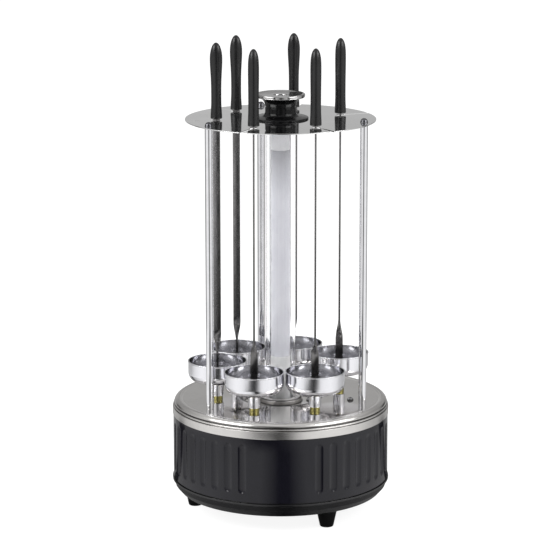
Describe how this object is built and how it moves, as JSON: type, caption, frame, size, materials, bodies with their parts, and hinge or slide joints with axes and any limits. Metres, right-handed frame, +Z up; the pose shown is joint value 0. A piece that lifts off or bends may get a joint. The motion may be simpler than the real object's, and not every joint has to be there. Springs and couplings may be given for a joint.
{
  "type": "electric skewer grill",
  "caption": "Vertical electric skewer grill: a round motor base turns drip cups and skewers about an upright glass-cased heater under a slotted steel plate.",
  "frame": {"origin": "on the table, under the centre of the round base", "axes": "+Z up along the heater; the plain front of the drum faces -Y; +X to the right seen from the front"},
  "size_m": [0.225, 0.225, 0.4873],
  "materials": {
    "black_moulding": "fine moulded satin",
    "foot_rubber": "matte",
    "black_enamel": "gloss black enamel",
    "deck_steel": "polished flat, brushed rim",
    "screw_steel": "polished",
    "zinc_steel": "zinc plated",
    "chassis_steel": "galvanised",
    "brass": "turned",
    "steatite": "unglazed white ceramic",
    "quartz": "milky tube",
    "clear_glass": "clear tube",
    "coil_wire": "oxidised resistance wire",
    "post_chrome": "bright",
    "plate_steel": "mirror polished stainless",
    "knob_black": "gloss",
    "knob_chrome": "satin",
    "cup_aluminium": "polished",
    "spindle_steel": "ground",
    "nylon": "natural heat-resistant nylon",
    "blade_steel": "rolled strip",
    "handle_black": "satin"
  },
  "bodies": {
    "base": {"bottom_pan": "black_moulding", "feet": "foot_rubber", "base_screws": "zinc_steel", "drum_shell": "black_enamel", "deck_plate": "deck_steel", "deck_screws": "screw_steel", "deck_spacers": "zinc_steel", "gear_plate": "chassis_steel", "deck_bushes": "brass", "motor_body": "zinc_steel", "motor_screws": "zinc_steel", "terminal_block": "steatite", "cord_gland": "foot_rubber", "heater_socket": "steatite", "heater_bracket": "zinc_steel", "lower_ceramic": "steatite", "quartz_tube": "quartz", "heating_coil": "coil_wire", "upper_ceramic": "steatite", "outer_glass": "clear_glass", "support_posts": "post_chrome", "plate_nuts": "zinc_steel", "dome_nuts": "post_chrome", "top_plate": "plate_steel", "knob_body": "knob_black", "knob_cap": "knob_chrome", "knob_screw": "screw_steel"},
    "drive_gear": {"drive_gear": "nylon"},
    "motor_rotor": {"motor_shaft": "spindle_steel", "motor_pinion": "nylon"},
    "spindle_1": {"spindle_1": "spindle_steel", "pinion_1": "nylon", "drip_cup_1": "cup_aluminium"},
    "skewer_1": {"blade_1": "blade_steel", "handle_1": "handle_black"},
    "spindle_2": {"spindle_2": "spindle_steel", "pinion_2": "nylon", "drip_cup_2": "cup_aluminium"},
    "skewer_2": {"blade_2": "blade_steel", "handle_2": "handle_black"},
    "spindle_3": {"spindle_3": "spindle_steel", "pinion_3": "nylon", "drip_cup_3": "cup_aluminium"},
    "skewer_3": {"blade_3": "blade_steel", "handle_3": "handle_black"},
    "spindle_4": {"spindle_4": "spindle_steel", "pinion_4": "nylon", "drip_cup_4": "cup_aluminium"},
    "skewer_4": {"blade_4": "blade_steel", "handle_4": "handle_black"},
    "spindle_5": {"spindle_5": "spindle_steel", "pinion_5": "nylon", "drip_cup_5": "cup_aluminium"},
    "skewer_5": {"blade_5": "blade_steel", "handle_5": "handle_black"},
    "spindle_6": {"spindle_6": "spindle_steel", "pinion_6": "nylon", "drip_cup_6": "cup_aluminium"},
    "skewer_6": {"blade_6": "blade_steel", "handle_6": "handle_black"}
  },
  "joints": [
    {"name": "drive_gear_spin", "type": "hinge", "parent": "base", "child": "drive_gear", "pos_m": [0, 0, 0.101], "axis": [0, 0, 1], "continuous": true},
    {"name": "motor_spin", "type": "hinge", "parent": "base", "child": "motor_rotor", "pos_m": [0.05531, -0.01905, 0.101], "axis": [0, 0, 1], "continuous": true},
    {"name": "spindle_1_spin", "type": "hinge", "parent": "base", "child": "spindle_1", "pos_m": [0.06119, 0.02472, 0.11], "axis": [0, 0, 1], "continuous": true},
    {"name": "skewer_1_lift", "type": "slide", "parent": "spindle_1", "child": "skewer_1", "axis": [0, 0, 1], "range_m": [0, 0.285]},
    {"name": "spindle_2_spin", "type": "hinge", "parent": "base", "child": "spindle_2", "pos_m": [0.01372, 0.06456, 0.11], "axis": [0, 0, 1], "continuous": true},
    {"name": "skewer_2_lift", "type": "slide", "parent": "spindle_2", "child": "skewer_2", "axis": [0, 0, 1], "range_m": [0, 0.285]},
    {"name": "spindle_3_spin", "type": "hinge", "parent": "base", "child": "spindle_3", "pos_m": [-0.04585, 0.04748, 0.11], "axis": [0, 0, 1], "continuous": true},
    {"name": "skewer_3_lift", "type": "slide", "parent": "spindle_3", "child": "skewer_3", "axis": [0, 0, 1], "range_m": [0, 0.285]},
    {"name": "spindle_4_spin", "type": "hinge", "parent": "base", "child": "spindle_4", "pos_m": [-0.065, -0.01146, 0.11], "axis": [0, 0, 1], "continuous": true},
    {"name": "skewer_4_lift", "type": "slide", "parent": "spindle_4", "child": "skewer_4", "axis": [0, 0, 1], "range_m": [0, 0.285]},
    {"name": "spindle_5_spin", "type": "hinge", "parent": "base", "child": "spindle_5", "pos_m": [-0.02685, -0.06029, 0.11], "axis": [0, 0, 1], "continuous": true},
    {"name": "skewer_5_lift", "type": "slide", "parent": "spindle_5", "child": "skewer_5", "axis": [0, 0, 1], "range_m": [0, 0.285]},
    {"name": "spindle_6_spin", "type": "hinge", "parent": "base", "child": "spindle_6", "pos_m": [0.03497, -0.05597, 0.11], "axis": [0, 0, 1], "continuous": true},
    {"name": "skewer_6_lift", "type": "slide", "parent": "spindle_6", "child": "skewer_6", "axis": [0, 0, 1], "range_m": [0, 0.285]}
  ],
  "couplings": [
    {"joint": "motor_spin", "follows": "drive_gear_spin", "ratio": -5.5},
    {"joint": "spindle_1_spin", "follows": "drive_gear_spin", "ratio": -3},
    {"joint": "spindle_2_spin", "follows": "drive_gear_spin", "ratio": -3},
    {"joint": "spindle_3_spin", "follows": "drive_gear_spin", "ratio": -3},
    {"joint": "spindle_4_spin", "follows": "drive_gear_spin", "ratio": -3},
    {"joint": "spindle_5_spin", "follows": "drive_gear_spin", "ratio": -3},
    {"joint": "spindle_6_spin", "follows": "drive_gear_spin", "ratio": -3}
  ]
}
